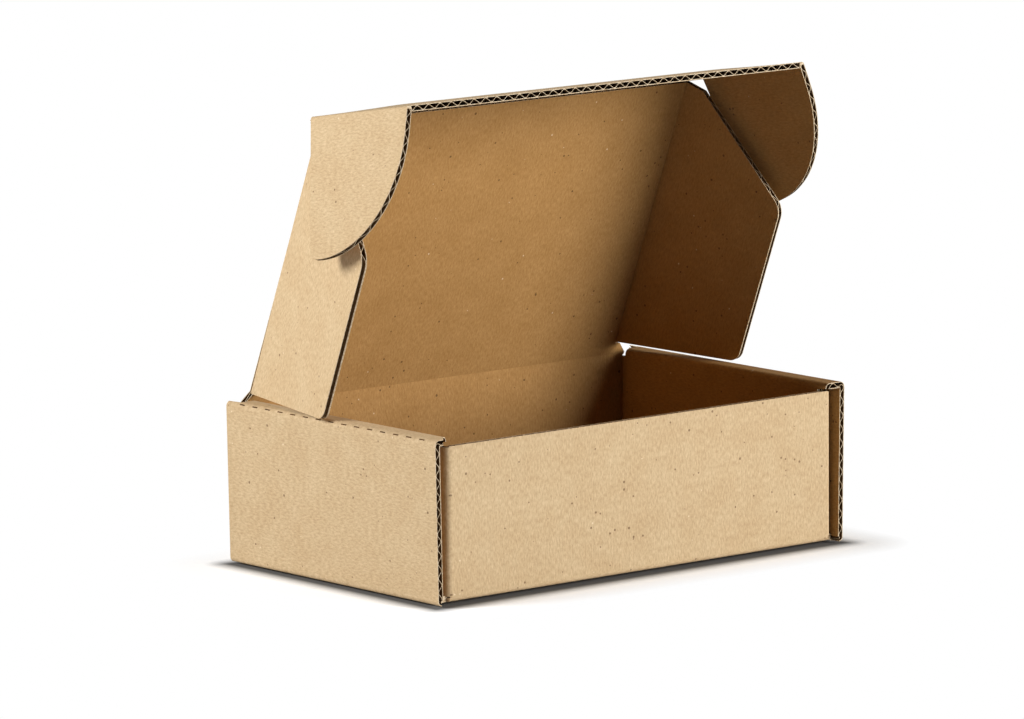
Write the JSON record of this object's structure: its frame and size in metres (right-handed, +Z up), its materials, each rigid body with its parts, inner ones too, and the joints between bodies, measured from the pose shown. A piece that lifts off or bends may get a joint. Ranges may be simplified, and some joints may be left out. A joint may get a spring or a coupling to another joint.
{
  "type": "mailer box",
  "caption": "Corrugated mailer box folded from one die-cut sheet, rolled double side walls, hinged lid with tuck flap, ears and dust flaps, standing open",
  "frame": {"origin": "middle of the tray's underside, on the surface it stands on", "axes": "+X along the long side to the right as seen from the front, -Y to the front where the lid closes, +Z up"},
  "size_m": [0.267, 0.148, 0.2192],
  "materials": {
    "kraft_board": "brown kraft liner with fine flecks, open flutes at the cut edges"
  },
  "bodies": {
    "tray": {"tray": "kraft_board"},
    "lid_panel": {"lid_panel": "kraft_board"},
    "dust_flap_left": {"dust_flap_left": "kraft_board"},
    "dust_flap_right": {"dust_flap_right": "kraft_board"},
    "tuck_flap": {"tuck_flap": "kraft_board"},
    "ear_left": {"ear_left": "kraft_board"},
    "ear_right": {"ear_right": "kraft_board"}
  },
  "joints": [
    {"name": "lid_hinge", "type": "hinge", "parent": "tray", "child": "lid_panel", "pos_m": [0, 0.0723, 0.0715], "axis": [-1, 0, 0], "range_deg": [0, 110]},
    {"name": "dust_flap_left_crease", "type": "hinge", "parent": "lid_panel", "child": "dust_flap_left", "pos_m": [-0.1076, 0.04421, 0.14104], "axis": [0, 0.3746, -0.9272], "range_deg": [-18, 5]},
    {"name": "dust_flap_right_crease", "type": "hinge", "parent": "lid_panel", "child": "dust_flap_right", "pos_m": [0.1076, 0.04421, 0.14104], "axis": [0, -0.3746, 0.9272], "range_deg": [-18, 5]},
    {"name": "tuck_crease", "type": "hinge", "parent": "lid_panel", "child": "tuck_flap", "pos_m": [0, 0.01783, 0.20631], "axis": [-1, 0, 0], "range_deg": [-28, 58.6]},
    {"name": "ear_left_crease", "type": "hinge", "parent": "tuck_flap", "child": "ear_left", "pos_m": [-0.1156, -0.02064, 0.21268], "axis": [0, 0.9866, -0.1633], "range_deg": [-5, 75]},
    {"name": "ear_right_crease", "type": "hinge", "parent": "tuck_flap", "child": "ear_right", "pos_m": [0.1156, -0.02064, 0.21268], "axis": [0, -0.9866, 0.1633], "range_deg": [-5, 75]}
  ]
}
